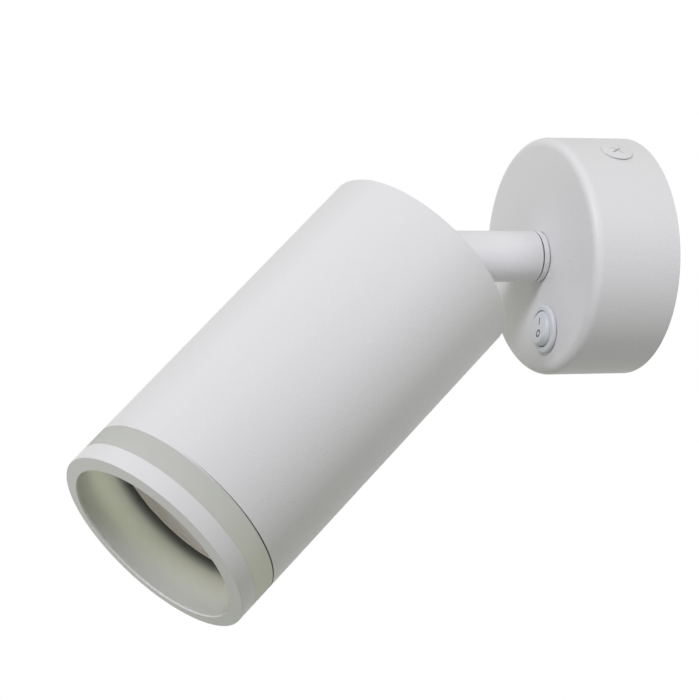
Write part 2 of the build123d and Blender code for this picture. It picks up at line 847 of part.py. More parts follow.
wall_parts = [
    wall_plate,
    cable_grommet,
    terminal_block,
    terminal_sleeves,
    terminal_screws,
    block_screw,
    earth_washer,
    earth_screw,
    canopy,
    canopy_screws,
    swivel_bush,
    stop_pin,
    switch_housing,
    switch_terminals,
    switch_rocker,
    canopy_leads,
    arm_tube,
    arm_nipple,
    spring_washer,
    stop_washer,
    swivel_nut,
    hinge_knuckle,
    arm_leads,
]
head_parts = [
    head_tube,
    rear_cap,
    cap_bush,
    hinge_screw,
    hinge_nut,
    hinge_washers,
    lamp_bracket,
    bracket_screws,
    lamp_holder,
    holder_contacts,
    holder_screws,
    head_leads,
    lamp_base,
    lamp_pins,
    lamp_shell,
    lamp_lens,
    diffuser_ring,
    front_bezel,
]

os.makedirs("parts", exist_ok=True)
for frame, makers in ((wall_frame, wall_parts), (head_frame, head_parts)):
    for maker in makers:
        made = maker()
        pieces = made if isinstance(made, list) else [made]
        placed = [frame * piece for piece in pieces]
        node = placed[0] if len(placed) == 1 else Compound(placed)
        export_step(node, f"parts/{maker.__name__}.step")
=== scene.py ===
import json
import math
import bpy
from mathutils import Matrix, Vector


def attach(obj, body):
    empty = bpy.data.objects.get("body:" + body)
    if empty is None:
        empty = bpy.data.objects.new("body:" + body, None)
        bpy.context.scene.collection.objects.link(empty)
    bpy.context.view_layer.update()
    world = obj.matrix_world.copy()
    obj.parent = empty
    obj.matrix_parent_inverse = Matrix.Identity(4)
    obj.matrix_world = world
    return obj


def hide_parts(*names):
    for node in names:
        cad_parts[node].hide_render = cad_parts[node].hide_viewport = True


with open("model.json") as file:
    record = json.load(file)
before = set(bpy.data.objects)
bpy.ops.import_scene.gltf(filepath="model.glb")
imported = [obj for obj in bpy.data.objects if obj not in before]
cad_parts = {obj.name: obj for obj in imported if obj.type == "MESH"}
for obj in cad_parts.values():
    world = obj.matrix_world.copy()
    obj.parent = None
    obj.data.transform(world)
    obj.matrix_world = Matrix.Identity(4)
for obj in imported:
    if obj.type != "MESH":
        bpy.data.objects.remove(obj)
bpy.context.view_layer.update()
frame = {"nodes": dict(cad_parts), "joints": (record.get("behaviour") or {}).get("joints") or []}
joints = {joint["name"]: joint for joint in frame["joints"]}
print("frame loaded:", len(frame["nodes"]), "nodes")

# Pieces are drawn in millimetres, upright in a frame of their own, and then put in their place
mm = 0.001
quarterTurn = math.pi / 2
largeRound, smallRound = 256, 128  # steps round a turned piece
crisp = 0.03  # round of a corner that should look sharp


def placeAt(origin, along):
    right = Vector((1, 0, 0))
    up = Vector(along).normalized()
    axes = Matrix((right, up.cross(right), up)).transposed().to_4x4()
    return Matrix.Translation(origin) @ axes @ Matrix.Scale(mm, 4)


hingePoint = Vector(joints["head_tilt"]["pos_m"])
headDroop = -math.radians(joints["head_tilt"]["range_deg"][0])
wallPlace = placeAt((0, 0, 0), (0, -1, 0))  # height is the distance from the wall
headPlace = placeAt(hingePoint, (0, -math.cos(headDroop), -math.sin(headDroop)))


def pointsOf(node, place):
    inside = place.inverted()
    return [inside @ vertex.co for vertex in frame["nodes"][node].data.vertices]


def spanOf(node, place):
    heights = [point.z for point in pointsOf(node, place)]
    return min(heights), max(heights)


def radiusOf(node, place):
    return max(math.hypot(point.x, point.y) for point in pointsOf(node, place))


def boreOf(node, place):
    return min(math.hypot(point.x, point.y) for point in pointsOf(node, place))


# Modelling helpers
def deselect():
    if bpy.context.object and bpy.context.object.mode != "OBJECT":
        bpy.ops.object.mode_set(mode="OBJECT")
    bpy.ops.object.select_all(action="DESELECT")


def only(piece):
    deselect()
    piece.select_set(True)
    bpy.context.view_layer.objects.active = piece


def cleanMesh(gap=1e-4):
    bpy.ops.object.mode_set(mode="EDIT")
    bpy.ops.mesh.select_all(action="SELECT")
    bpy.ops.mesh.remove_doubles(threshold=gap)
    bpy.ops.mesh.normals_make_consistent(inside=False)
    bpy.ops.object.mode_set(mode="OBJECT")


def arc(centre, radius, start, end, count):
    steps = [math.radians(start + (end - start) * step / count) for step in range(count + 1)]
    return [(centre[0] + radius * math.cos(a), centre[1] + radius * math.sin(a)) for a in steps]


roundLook = {"holdShare": 0.6, "holdLimit": 0.3, "fewestSteps": 4, "stepsPerMm": 6}


def eased(corners, edge):
    # Corners of a closed outline become rounds, with a point held close to both ends of each round.
    # A third number is that corner's own radius, and 0 keeps the point as it is
    outline = []
    for before, corner, after in zip(corners[-1:] + corners[:-1], corners, corners[1:] + corners[:1]):
        radius = corner[2] if len(corner) > 2 else edge
        point = Vector(corner[:2])
        if radius == 0 or point.x == 0:
            outline.append(point)
            continue
        toBefore = (Vector(before[:2]) - point).normalized()
        toAfter = (Vector(after[:2]) - point).normalized()
        half = toBefore.angle(toAfter) / 2
        reach = radius / math.tan(half)
        held = reach + min(roundLook["holdShare"] * reach, roundLook["holdLimit"])
        centre = point + (toBefore + toAfter).normalized() * radius / math.sin(half)
        start, end = point + toBefore * reach - centre, point + toAfter * reach - centre
        count = max(roundLook["fewestSteps"], round(roundLook["stepsPerMm"] * radius))
        outline.append(point + toBefore * held)
        for step in range(count + 1):
            outline.append(centre + start.slerp(end, step / count).normalized() * radius)
        outline.append(point + toAfter * held)
    return outline


def smoothed(piece, angle=40):
    only(piece)
    bpy.ops.object.shade_smooth_by_angle(angle=math.radians(angle))


def turnOnLathe(name, outline, steps):
    # One point of a plane is drawn along the outline, and the closed outline is spun
    deselect()
    bpy.ops.mesh.primitive_plane_add(size=1)
    piece = bpy.context.active_object
    piece.name = name
    bpy.ops.object.mode_set(mode="EDIT")
    bpy.ops.mesh.merge(type="CENTER")
    bpy.ops.transform.translate(value=(outline[0][0], 0, outline[0][1]))
    for before, after in zip(outline, outline[1:] + outline[:1]):
        move = (after[0] - before[0], 0, after[1] - before[1])
        bpy.ops.mesh.extrude_region_move(TRANSFORM_OT_translate={"value": move})
    bpy.ops.mesh.select_all(action="SELECT")
    bpy.ops.mesh.remove_doubles(threshold=1e-4)
    bpy.ops.mesh.spin(steps=steps, angle=2 * math.pi, center=(0, 0, 0), axis=(0, 0, 1))
    bpy.ops.object.mode_set(mode="OBJECT")
    cleanMesh()
    return piece


def applied(piece, kind, **settings):
    only(piece)
    modifier = piece.modifiers.new(kind.title(), kind)
    for setting, value in settings.items():
        setattr(modifier, setting, value)
    bpy.ops.object.modifier_apply(modifier=modifier.name)


def cut(piece, *tools, operation="DIFFERENCE"):
    for tool in tools:
        applied(piece, "BOOLEAN", object=tool, operation=operation, solver="EXACT")
        bpy.data.objects.remove(tool)


def softenEdges(piece, width, segments=3, angle=35):
    limits = {"limit_method": "ANGLE", "angle_limit": math.radians(angle)}
    applied(piece, "BEVEL", width=width, segments=segments, miter_outer="MITER_ARC", **limits)
    smoothed(piece, 50)
    applied(piece, "WEIGHTED_NORMAL", keep_sharp=True)


polishLook = {"weldGap": 1e-3, "flatAngle": 0.3}


def polishedCopy(name, node, place, edge):
    # The CAD shape with its loose triangles welded, its flats made whole and its sharp edges eased
    piece = bpy.data.objects.new(name, frame["nodes"][node].data.copy())
    bpy.context.scene.collection.objects.link(piece)
    piece.data.transform(place.inverted())
    only(piece)
    bpy.ops.mesh.customdata_custom_splitnormals_clear()
    bpy.ops.object.mode_set(mode="EDIT")
    bpy.ops.mesh.select_all(action="SELECT")
    bpy.ops.mesh.remove_doubles(threshold=polishLook["weldGap"])
    bpy.ops.mesh.dissolve_limited(angle_limit=math.radians(polishLook["flatAngle"]))
    bpy.ops.object.mode_set(mode="OBJECT")
    softenEdges(piece, edge, 2)
    return piece


def copyOf(piece, name):
    twin = bpy.data.objects.new(name, piece.data.copy())
    bpy.context.scene.collection.objects.link(twin)
    return twin


def rodTool(radius, length, centre, turn=(0, 0, 0), vertices=64):
    deselect()
    bpy.ops.mesh.primitive_cylinder_add(
        vertices=vertices, radius=radius, depth=length, location=centre, rotation=turn)
    bpy.ops.object.transform_apply(location=True, rotation=True, scale=True)
    return bpy.context.active_object


def settle(piece, place, body, material, slot, *nodes):
    # The place goes into the mesh, so the object stays at the origin
    only(piece)
    piece.matrix_world = place
    bpy.ops.object.transform_apply(location=True, rotation=True, scale=True)
    piece.data.materials.clear()
    piece.data.materials.append(material)
    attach(piece, body)
    if nodes:
        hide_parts(*nodes)
    return piece


# Materials
def grainedFinish(name, look):
    # Principled finish with a fine grain in its bump and a slow drift in colour and gloss
    material = bpy.data.materials.new(name)
    material.use_nodes = True
    nodes, links = material.node_tree.nodes, material.node_tree.links
    shader = nodes["Principled BSDF"]
    shader.inputs["Metallic"].default_value = look.get("metallic", 0)
    shader.inputs["Specular IOR Level"].default_value = look.get("specular", 0.5)
    coordinates = nodes.new("ShaderNodeTexCoord")

    drift = nodes.new("ShaderNodeTexNoise")
    drift.inputs["Scale"].default_value = 1 / (look["driftSize"] * mm)
    drift.inputs["Detail"].default_value = 3
    links.new(coordinates.outputs["Object"], drift.inputs["Vector"])
    tint = nodes.new("ShaderNodeMix")
    tint.data_type = "RGBA"
    tint.inputs["A"].default_value = (*look["color"], 1)
    tint.inputs["B"].default_value = (*[part * look["drift"] for part in look["color"]], 1)
    links.new(drift.outputs["Fac"], tint.inputs["Factor"])
    links.new(tint.outputs["Result"], shader.inputs["Base Color"])

    grain = nodes.new("ShaderNodeTexNoise")
    grain.inputs["Scale"].default_value = 1 / (look["grainSize"] * mm)
    grain.inputs["Detail"].default_value = 2
    links.new(coordinates.outputs["Object"], grain.inputs["Vector"])
    gloss = nodes.new("ShaderNodeMapRange")
    gloss.inputs["To Min"].default_value = look["roughness"] - look["glossSpread"]
    gloss.inputs["To Max"].default_value = look["roughness"] + look["glossSpread"]
    links.new(grain.outputs["Fac"], gloss.inputs["Value"])
    links.new(gloss.outputs["Result"], shader.inputs["Roughness"])
    bump = nodes.new("ShaderNodeBump")
    bump.inputs["Strength"].default_value = 1
    bump.inputs["Distance"].default_value = look["grainHeight"] * mm
    links.new(grain.outputs["Fac"], bump.inputs["Height"])
    links.new(bump.outputs["Normal"], shader.inputs["Normal"])
    if "through" in look:
        # A share of the light goes on through the piece, softly spread and with a tint of its own
        stain = nodes.new("ShaderNodeVectorMath")
        stain.operation = "MULTIPLY"
        stain.inputs[1].default_value = look["throughTint"]
        links.new(tint.outputs["Result"], stain.inputs[0])
        passing = nodes.new("ShaderNodeBsdfTranslucent")
        links.new(stain.outputs["Vector"], passing.inputs["Color"])
        share = nodes.new("ShaderNodeMixShader")
        share.inputs["Fac"].default_value = look["through"]
        links.new(shader.outputs["BSDF"], share.inputs[1])
        links.new(passing.outputs["BSDF"], share.inputs[2])
        links.new(share.outputs["Shader"], nodes["Material Output"].inputs["Surface"])
    return material


def paintShadeAlong(material, place, start, end, shade):
    # Painted shade: the finish goes darker along the axis of a place, between two heights, standing in for
    # shadow
    nodes, links = material.node_tree.nodes, material.node_tree.links
    tint = nodes["Principled BSDF"].inputs["Base Color"].links[0].from_socket
    tinted = [link.to_socket for link in tint.links]
    axis = place.to_3x3().col[2].normalized()
    along = nodes.new("ShaderNodeVectorMath")
    along.operation = "DOT_PRODUCT"
    along.inputs[1].default_value = axis
    links.new(nodes["Texture Coordinate"].outputs["Object"], along.inputs[0])
    fade = nodes.new("ShaderNodeMapRange")
    fade.interpolation_type = "SMOOTHSTEP"
    for socket, height in (("From Min", end), ("From Max", start)):
        fade.inputs[socket].default_value = (place @ Vector((0, 0, height))).dot(axis)
    fade.inputs["To Min"].default_value = shade
    fade.inputs["To Max"].default_value = 1
    links.new(along.outputs["Value"], fade.inputs["Value"])
    dark = nodes.new("ShaderNodeVectorMath")
    dark.operation = "SCALE"
    links.new(tint, dark.inputs[0])
    links.new(fade.outputs["Result"], dark.inputs["Scale"])
    for socket in tinted:
        links.new(dark.outputs["Vector"], socket)


whiteCoat = grainedFinish("whiteCoat", {
    "color": (0.84, 0.84, 0.845), "drift": 0.985, "driftSize": 18, "roughness": 0.46,
    "glossSpread": 0.06, "grainSize": 0.65, "grainHeight": 0.085})
acrylic = grainedFinish("acrylic", {
    "color": (0.842, 0.854, 0.93), "drift": 0.98, "driftSize": 9, "roughness": 0.6,
    "glossSpread": 0.05, "grainSize": 0.4, "grainHeight": 0.004,
    "through": 0.55, "throughTint": (1.02, 1.02, 0.78)})
# Near-black finish that paints shade into the tube's bore
boreShade = grainedFinish("boreShade", {
    "color": (0.09, 0.095, 0.09), "drift": 0.9, "driftSize": 6, "roughness": 0.6,
    "glossSpread": 0.08, "grainSize": 0.5, "grainHeight": 0.01})
switchPlastic = grainedFinish("switchPlastic", {
    "color": (0.80, 0.83, 0.86), "drift": 0.98, "driftSize": 4, "roughness": 0.34,
    "glossSpread": 0.05, "grainSize": 0.3, "grainHeight": 0.003})
printedInk = grainedFinish("printedInk", {
    "color": (0.06, 0.06, 0.08), "drift": 0.8, "driftSize": 1, "roughness": 0.5,
    "glossSpread": 0.1, "grainSize": 0.2, "grainHeight": 0.003})
zincSteel = grainedFinish("zincSteel", {
    "color": (0.62, 0.62, 0.62), "drift": 0.85, "driftSize": 2.5, "roughness": 0.34, "metallic": 1,
    "glossSpread": 0.1, "grainSize": 0.25, "grainHeight": 0.006})
brass = grainedFinish("brass", {
    "color": (0.72, 0.56, 0.26), "drift": 0.85, "driftSize": 2.5, "roughness": 0.32, "metallic": 1,
    "glossSpread": 0.1, "grainSize": 0.25, "grainHeight": 0.006})
ceramic = grainedFinish("ceramic", {
    "color": (0.80, 0.78, 0.72), "drift": 0.93, "driftSize": 3, "roughness": 0.55,
    "glossSpread": 0.1, "grainSize": 0.3, "grainHeight": 0.008})
blackRubber = grainedFinish("blackRubber", {
    "color": (0.03, 0.03, 0.03), "drift": 1.5, "driftSize": 3, "roughness": 0.65,
    "glossSpread": 0.1, "grainSize": 0.4, "grainHeight": 0.01})
blockPlastic = grainedFinish("blockPlastic", {
    "color": (0.82, 0.82, 0.78), "drift": 0.95, "driftSize": 3, "roughness": 0.45,
    "glossSpread": 0.08, "grainSize": 0.4, "grainHeight": 0.006})
washerPlastic = grainedFinish("washerPlastic", {
    "color": (0.16, 0.16, 0.16), "drift": 0.85, "driftSize": 2, "roughness": 0.5,
    "glossSpread": 0.08, "grainSize": 0.3, "grainHeight": 0.006})
leadInsulation = grainedFinish("leadInsulation", {
    "color": (0.78, 0.77, 0.74), "drift": 0.94, "driftSize": 2, "roughness": 0.5,
    "glossSpread": 0.08, "grainSize": 0.25, "grainHeight": 0.004})
lampPlastic = grainedFinish("lampPlastic", {
    "color": (0.90, 0.83, 0.84), "drift": 0.96, "driftSize": 5, "roughness": 0.42,
    "glossSpread": 0.06, "grainSize": 0.5, "grainHeight": 0.006})
lampLens = grainedFinish("lampLens", {
    "color": (0.98, 0.90, 0.93), "drift": 0.96, "driftSize": 6, "roughness": 0.25, "specular": 0.8,
    "glossSpread": 0.06, "grainSize": 0.5, "grainHeight": 0.006})
slotFinish = {
    "white_coat": whiteCoat, "acrylic": acrylic, "switch_plastic": switchPlastic, "zinc_steel": zincSteel,
    "brass": brass, "holder_ceramic": ceramic, "black_rubber": blackRubber, "block_plastic": blockPlastic,
    "washer_plastic": washerPlastic, "lead_insulation": leadInsulation, "lamp_plastic": lampPlastic,
    "lamp_lens": lampLens}
slotNames = {finish: slot for slot, finish in slotFinish.items()}
print("finishes made:", len(slotFinish) + 2)

# CAD nodes take the finish of their slot
for node in frame["nodes"].values():
    for holder in node.material_slots:
        holder.material = slotFinish.get(holder.material.name.split(".")[0], zincSteel)

pressFit = 0.04  # play between pieces that are pushed together

# Head: tube, acrylic ring and bezel
headRadius = radiusOf("head_tube", headPlace)
tubeBore = boreOf("head_tube", headPlace)
tubeRear, tubeFront = spanOf("head_tube", headPlace)
ringBore = boreOf("diffuser_ring", headPlace)
ringRear, ringFront = spanOf("diffuser_ring", headPlace)
bezelRear, bezelLip = spanOf("front_bezel", headPlace)
armRadius = radiusOf("arm_tube", wallPlace)

headTubeLook = {
    "gapWidth": 0.4, "gapDepth": 0.8, "gapAngle": 300, "gapLand": 0.5, "notchGap": 0.3, "notchLand": 1.5,
    "edge": 0.12, "frontEdge": 0.05, "boreMargin": 0.02, "cutReach": 2}
notchRadius = armRadius + headTubeLook["notchGap"]
notchEnd = notchRadius + headTubeLook["notchLand"]
gapStart = tubeFront - headTubeLook["gapWidth"] - headTubeLook["gapLand"]
headTube = turnOnLathe("headTube", eased([
    (tubeBore, tubeRear), (headRadius, tubeRear), (headRadius, notchEnd, 0), (headRadius, gapStart, 0),
    (headRadius, tubeFront, headTubeLook["frontEdge"]), (tubeBore, tubeFront), (tubeBore, notchEnd, 0)],
    headTubeLook["edge"]), largeRound)
cut(headTube, rodTool(notchRadius, headRadius, (0, -headRadius, 0), (quarterTurn, 0, 0), vertices=96))

# The gap to the acrylic ring opens on one side only
gapTurn = math.radians(headTubeLook["gapAngle"])
gapShift = [-headTubeLook["gapDepth"] * part for part in (math.cos(gapTurn), math.sin(gapTurn))]
cutReach = headTubeLook["cutReach"]
gapTool = rodTool(headRadius + cutReach, 2 * headTubeLook["gapWidth"], (0, 0, tubeFront), vertices=largeRound)
cut(gapTool, rodTool(headRadius, 2 * cutReach, (*gapShift, tubeFront), vertices=largeRound))
cut(headTube, gapTool)
smoothed(headTube)
settle(headTube, headPlace, "head", whiteCoat, "white_coat", "head_tube")

# The bore in front of the hinge is painted near-black as shade, standing in for the shadow inside the tube
headTube.data.materials.append(boreShade)
inHead = headPlace.inverted()
boreLimit = tubeBore + headTubeLook["boreMargin"]
for face in headTube.data.polygons:
    centre = inHead @ face.center
    face.material_index = int(centre.z > notchEnd and math.hypot(centre.x, centre.y) < boreLimit)

acrylicRingLook = {
    "edge": 0.04, "play": 0.02, "reach": 0.5, "fadeStart": 0.7, "fadeEnd": -2.7, "shade": 0.35}
ringSpigot = tubeBore - pressFit
bandStart, bandEnd = tubeFront + acrylicRingLook["play"], bezelRear - acrylicRingLook["play"]
ringStep = ringFront + acrylicRingLook["reach"]
ringEnd = ringStep - acrylicRingLook["play"]
acrylicRing = turnOnLathe("acrylicRing", eased([
    (ringBore, ringRear), (ringSpigot, ringRear), (ringSpigot, bandStart), (headRadius, bandStart),
    (headRadius, bandEnd), (ringSpigot, bandEnd), (ringSpigot, ringEnd), (ringBore, ringEnd)],
    acrylicRingLook["edge"]), largeRound)
smoothed(acrylicRing)
settle(acrylicRing, headPlace, "head", acrylic, "acrylic", "diffuser_ring")
# Painted shade on the acrylic ring: darker where it sits inside the tube, standing in for the tube's shadow
fadeSpan = [tubeFront + acrylicRingLook[end] for end in ("fadeStart", "fadeEnd")]
paintShadeAlong(acrylic, headPlace, *fadeSpan, acrylicRingLook["shade"])

frontBezelLook = {"rise": 0.6, "edge": 0.2, "jointEdge": 0.04}
bezelRim = bezelLip - frontBezelLook["rise"]
jointEdge = frontBezelLook["jointEdge"]
frontBezel = turnOnLathe("frontBezel", eased([
    (tubeBore, bezelRear, jointEdge), (headRadius, bezelRear, jointEdge), (headRadius, bezelRim),
    (ringBore, bezelLip, jointEdge), (ringBore, ringStep, jointEdge), (tubeBore, ringStep, jointEdge)],
    frontBezelLook["edge"]), largeRound)
smoothed(frontBezel)
settle(frontBezel, headPlace, "head", whiteCoat, "white_coat", "front_bezel")
print("head shell made")

# Reflector lamp behind the ring, with its lens lifted to where the photograph has it
lensRear, lensFront = spanOf("lamp_lens", headPlace)
lensRadius = radiusOf("lamp_lens", headPlace)
lampLensLook = {"dome": 0.25, "edge": 0.15, "lift": 2.0}
lensRear += lampLensLook["lift"]
lensFront += lampLensLook["lift"]
domeRadius = (lensRadius ** 2 + lampLensLook["dome"] ** 2) / (2 * lampLensLook["dome"])
domeSpan = math.degrees(math.asin(lensRadius / domeRadius))
domeCentre = (0, lensFront - domeRadius)
lensFace = turnOnLathe("lampLensDisc", [
    (0, lensRear), (lensRadius, lensRear),
    *arc(domeCentre, domeRadius, 90 - domeSpan, 90, 10)], smallRound)
softenEdges(lensFace, lampLensLook["edge"])
settle(lensFace, headPlace, "head", lampLens, "lamp_lens", "lamp_lens")
lampShellLook = {"edge": 0.2}
lampShell = polishedCopy("lampShell", "lamp_shell", headPlace, lampShellLook["edge"])
shellRear, shellFront = spanOf("lamp_shell", headPlace)
stretch = 1 + lampLensLook["lift"] / (shellFront - shellRear)
for vertex in lampShell.data.vertices:
    vertex.co.z = shellRear + (vertex.co.z - shellRear) * stretch
settle(lampShell, headPlace, "head", lampPlastic, "lamp_plastic", "lamp_shell")

# Recessed rear cap with the hinge ears, and the hinge itself
hingeLook = {
    "rearCap": ("rear_cap", "head", whiteCoat, 0.25),
    "capBush": ("cap_bush", "head", blackRubber, 0.15),
    "hingeScrew": ("hinge_screw", "head", zincSteel, 0.12),
    "hingeNut": ("hinge_nut", "head", zincSteel, 0.15),
    "hingeWashers": ("hinge_washers", "head", washerPlastic, 0.08),
    "hingeKnuckle": ("hinge_knuckle", "arm", whiteCoat, 0.2)}
for name, (node, body, finish, edge) in hingeLook.items():
    piece = polishedCopy(name, node, headPlace, edge)
    settle(piece, headPlace, body, finish, slotNames[finish], node)
print("hinge made")

# Canopy cup
canopyRadius = radiusOf("canopy", wallPlace)
canopyDepth = spanOf("canopy", wallPlace)[1]
bushBore = boreOf("canopy", wallPlace)
canopyLook = {"wall": 1.2, "edgeRound": 2.5, "rim": 0.15, "reliefDepth": 0.5, "reliefInset": 0.075}
collarLook = {"grooveWidth": 0.3, "grooveDepth": 0.45, "dish": 1.2, "edge": 0.08}
switchLook = {
    "body": 6.0, "holeGap": 0.1, "flangeRound": 0.45, "shadowGap": 0.3, "shadowDepth": 0.65, "wellEdge": 0.12,
    "well": 5.1, "wellFloor": -4.7}
screwLook = {
    "angle": 49, "height": 10.6, "head": 4.4, "rim": 0.2, "crown": 0.35, "shank": 2.0, "length": 7.0,
    "hole": 2.1, "holeLand": 0.6, "holeReach": 8, "crossLength": 4.6, "crossWidth": 0.75, "crossDepth": 1.3,
    "crossTaper": (0.85, 0.6, 1), "crossTurn": 36, "lift": 0.12, "edge": 0.04}
innerRadius = canopyRadius - canopyLook["wall"]
innerFace = canopyDepth - canopyLook["wall"]
innerRound = canopyLook["edgeRound"] - canopyLook["wall"]
grooveRadius = armRadius - collarLook["grooveDepth"]
reliefRadius = armRadius - canopyLook["reliefInset"]
reliefFloor = canopyDepth - canopyLook["reliefDepth"]
holeBand = [screwLook["height"] + side * (screwLook["hole"] + screwLook["holeLand"]) for side in (-1, 1)]
canopyCup = turnOnLathe("canopyCup", eased([
    (innerRadius, 0), (canopyRadius, 0), (canopyRadius, holeBand[0], 0), (canopyRadius, holeBand[1], 0),
    (canopyRadius, canopyDepth, canopyLook["edgeRound"]), (reliefRadius, canopyDepth, crisp),
    (reliefRadius, reliefFloor, crisp), (grooveRadius, reliefFloor, crisp),
    (grooveRadius, canopyDepth, crisp), (bushBore, canopyDepth, crisp),
    (bushBore, innerFace, crisp), (innerRadius, innerFace, innerRound),
    (innerRadius, holeBand[1], 0), (innerRadius, holeBand[0], 0)], canopyLook["rim"]), largeRound)

# Openings for the switch and the two side screws
rockerPivot = Vector(joints["rocker_tip"]["pos_m"])
switchDrop = -rockerPivot.z / mm
switchHole = rodTool(
    switchLook["body"] + switchLook["holeGap"], canopyDepth, (0, -switchDrop, canopyDepth), vertices=96)
screwTurns = [math.radians(screwLook["angle"] + turn) for turn in (0, 180)]
screwHoles = []
for turn in screwTurns:
    holeCentre = (canopyRadius * math.cos(turn), canopyRadius * math.sin(turn), screwLook["height"])
    screwHoles.append(rodTool(
        screwLook["hole"], screwLook["holeReach"], holeCentre, (0, quarterTurn, turn), vertices=48))
cut(canopyCup, switchHole, *screwHoles)
smoothed(canopyCup)
settle(canopyCup, wallPlace, "base", whiteCoat, "white_coat", "canopy")
print("canopy made")

# Domed side screws with a cross recess
crownRadius = (screwLook["head"] ** 2 + screwLook["crown"] ** 2) / (2 * screwLook["crown"])
crownSpan = math.degrees(math.asin(screwLook["head"] / crownRadius))
screwTop = screwLook["rim"] + screwLook["crown"]
sideScrew = turnOnLathe("sideScrewRight", [
    (0, -screwLook["length"]), (screwLook["shank"], -screwLook["length"]), (screwLook["shank"], 0),
    (screwLook["head"], 0), *arc((0, screwTop - crownRadius), crownRadius, 90 - crownSpan, 90, 8)], 96)


def crossArm(turn):
    # A bar that narrows and shortens as it goes down
    deselect()
    bpy.ops.mesh.primitive_cube_add(size=2)
    arm = bpy.context.active_object
    bpy.ops.object.mode_set(mode="EDIT")
    bpy.ops.transform.resize(
        value=(screwLook["crossLength"] / 2, screwLook["crossWidth"] / 2, screwLook["crossDepth"]))
    bpy.ops.mesh.select_all(action="DESELECT")
    bpy.ops.object.mode_set(mode="OBJECT")
    for vertex in arm.data.vertices:
        vertex.select = vertex.co.z < 0
    bpy.ops.object.mode_set(mode="EDIT")
    bpy.ops.transform.resize(value=screwLook["crossTaper"])
    bpy.ops.object.mode_set(mode="OBJECT")
    arm.matrix_world = Matrix.Translation((0, 0, screwTop)) @ Matrix.Rotation(turn, 4, "Z")
    bpy.ops.object.transform_apply(location=True, rotation=True, scale=True)
    return arm


crossTurn = math.radians(screwLook["crossTurn"])
cut(sideScrew, crossArm(crossTurn), crossArm(crossTurn + quarterTurn))
softenEdges(sideScrew, screwLook["edge"], 2)
otherScrew = copyOf(sideScrew, "sideScrewLeft")
for piece, turn in zip((sideScrew, otherScrew), screwTurns):
    seatPoint = (canopyRadius + screwLook["lift"], 0, screwLook["height"])
    seat = Matrix.Translation(seatPoint) @ Matrix.Rotation(quarterTurn, 4, "Y")
    settle(piece, wallPlace @ Matrix.Rotation(turn, 4, "Z") @ seat, "base", whiteCoat, "white_coat")
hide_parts("canopy_screws")

# Round rocker switch
switchPlace = placeAt((0, -canopyDepth * mm, rockerPivot.z), (0, -1, 0))
switchRear, flangeTop = spanOf("switch_housing", switchPlace)
flangePoints = [point for point in pointsOf("switch_housing", switchPlace) if point.z > 0]
flangeRadius = max(math.hypot(point.x, point.y) for point in flangePoints)
shadowRadius = flangeRadius - switchLook["shadowDepth"]
switchHousing = turnOnLathe("switchHousing", eased([
    (0, switchRear), (switchLook["body"], switchRear), (switchLook["body"], 0, crisp),
    (shadowRadius, 0, crisp), (shadowRadius, switchLook["shadowGap"], crisp),
    (flangeRadius, switchLook["shadowGap"], crisp),
    (flangeRadius, flangeTop, switchLook["flangeRound"]), (switchLook["well"], flangeTop),
    (switchLook["well"], switchLook["wellFloor"]), (0, switchLook["wellFloor"])],
    switchLook["wellEdge"]), smallRound)
rockerLook = {
    "ball": 4.9, "face": 1.95, "faceRound": 0.5, "dish": 0.12, "skirt": 3.4, "pin": 0.6, "pinReach": 0.8,
    "pinPlay": 0.06, "edge": 0.08}
ball, faceRound = rockerLook["ball"], rockerLook["faceRound"]

# Sockets for the rocker's two pins
pinLength = 2 * (ball + rockerLook["pinReach"])
socketPoint = switchPlace.inverted() @ rockerPivot
cut(switchHousing, rodTool(
    rockerLook["pin"] + rockerLook["pinPlay"], pinLength + 2 * rockerLook["pinPlay"], socketPoint,
    (0, quarterTurn, 0), vertices=32))
smoothed(switchHousing)
settle(switchHousing, switchPlace, "base", switchPlastic, "switch_plastic", "switch_housing")

rockerTip = math.radians(joints["rocker_tip"]["range_deg"][1]) / 2
rockerPlace = placeAt(rockerPivot, (0, -math.cos(rockerTip), math.sin(rockerTip)))
roundHeight = rockerLook["face"] - faceRound
roundReach = math.sqrt((ball - faceRound) ** 2 - roundHeight ** 2)
roundStart = math.degrees(math.atan2(roundHeight, roundReach))
skirtAngle = math.degrees(math.asin(-rockerLook["skirt"] / ball))
dishRadius = (roundReach ** 2 + rockerLook["dish"] ** 2) / (2 * rockerLook["dish"])
dishSpan = math.degrees(math.asin(roundReach / dishRadius))
dishCentre = (0, rockerLook["face"] - rockerLook["dish"] + dishRadius)
rocker = turnOnLathe("rocker", [
    (0, -rockerLook["skirt"]), *arc((0, 0), ball, skirtAngle, roundStart, 16),
    *arc((roundReach, roundHeight), faceRound, roundStart, 90, 8)[1:],
    *arc(dishCentre, dishRadius, dishSpan - 90, -90, 8)[1:]], smallRound)
pins = rodTool(rockerLook["pin"], pinLength, (0, 0, 0), (0, quarterTurn, 0), vertices=32)
cut(rocker, pins, operation="UNION")

# On and off marks, printed on the rocker's face
markLook = {"place": 1.75, "barLength": 2.0, "stroke": 0.46, "ringRadius": 1.1, "height": 0.012}
deselect()
bpy.ops.mesh.primitive_plane_add(size=1, location=(0, markLook["place"], ball))
onMark = bpy.context.active_object
onMark.name = "onMark"
bpy.ops.object.mode_set(mode="EDIT")
bpy.ops.transform.resize(value=(markLook["stroke"], markLook["barLength"], 1))
bpy.ops.mesh.subdivide(number_cuts=5)
bpy.ops.object.mode_set(mode="OBJECT")
deselect()
bpy.ops.mesh.primitive_circle_add(
    vertices=64, radius=markLook["ringRadius"], location=(0, -markLook["place"], ball))
offMark = bpy.context.active_object
offMark.name = "offMark"
bpy.ops.object.mode_set(mode="EDIT")
bpy.ops.mesh.select_all(action="SELECT")
bpy.ops.mesh.extrude_region_move()
inside = 1 - markLook["stroke"] / markLook["ringRadius"]
bpy.ops.transform.resize(value=(inside, inside, 1))
bpy.ops.object.mode_set(mode="OBJECT")
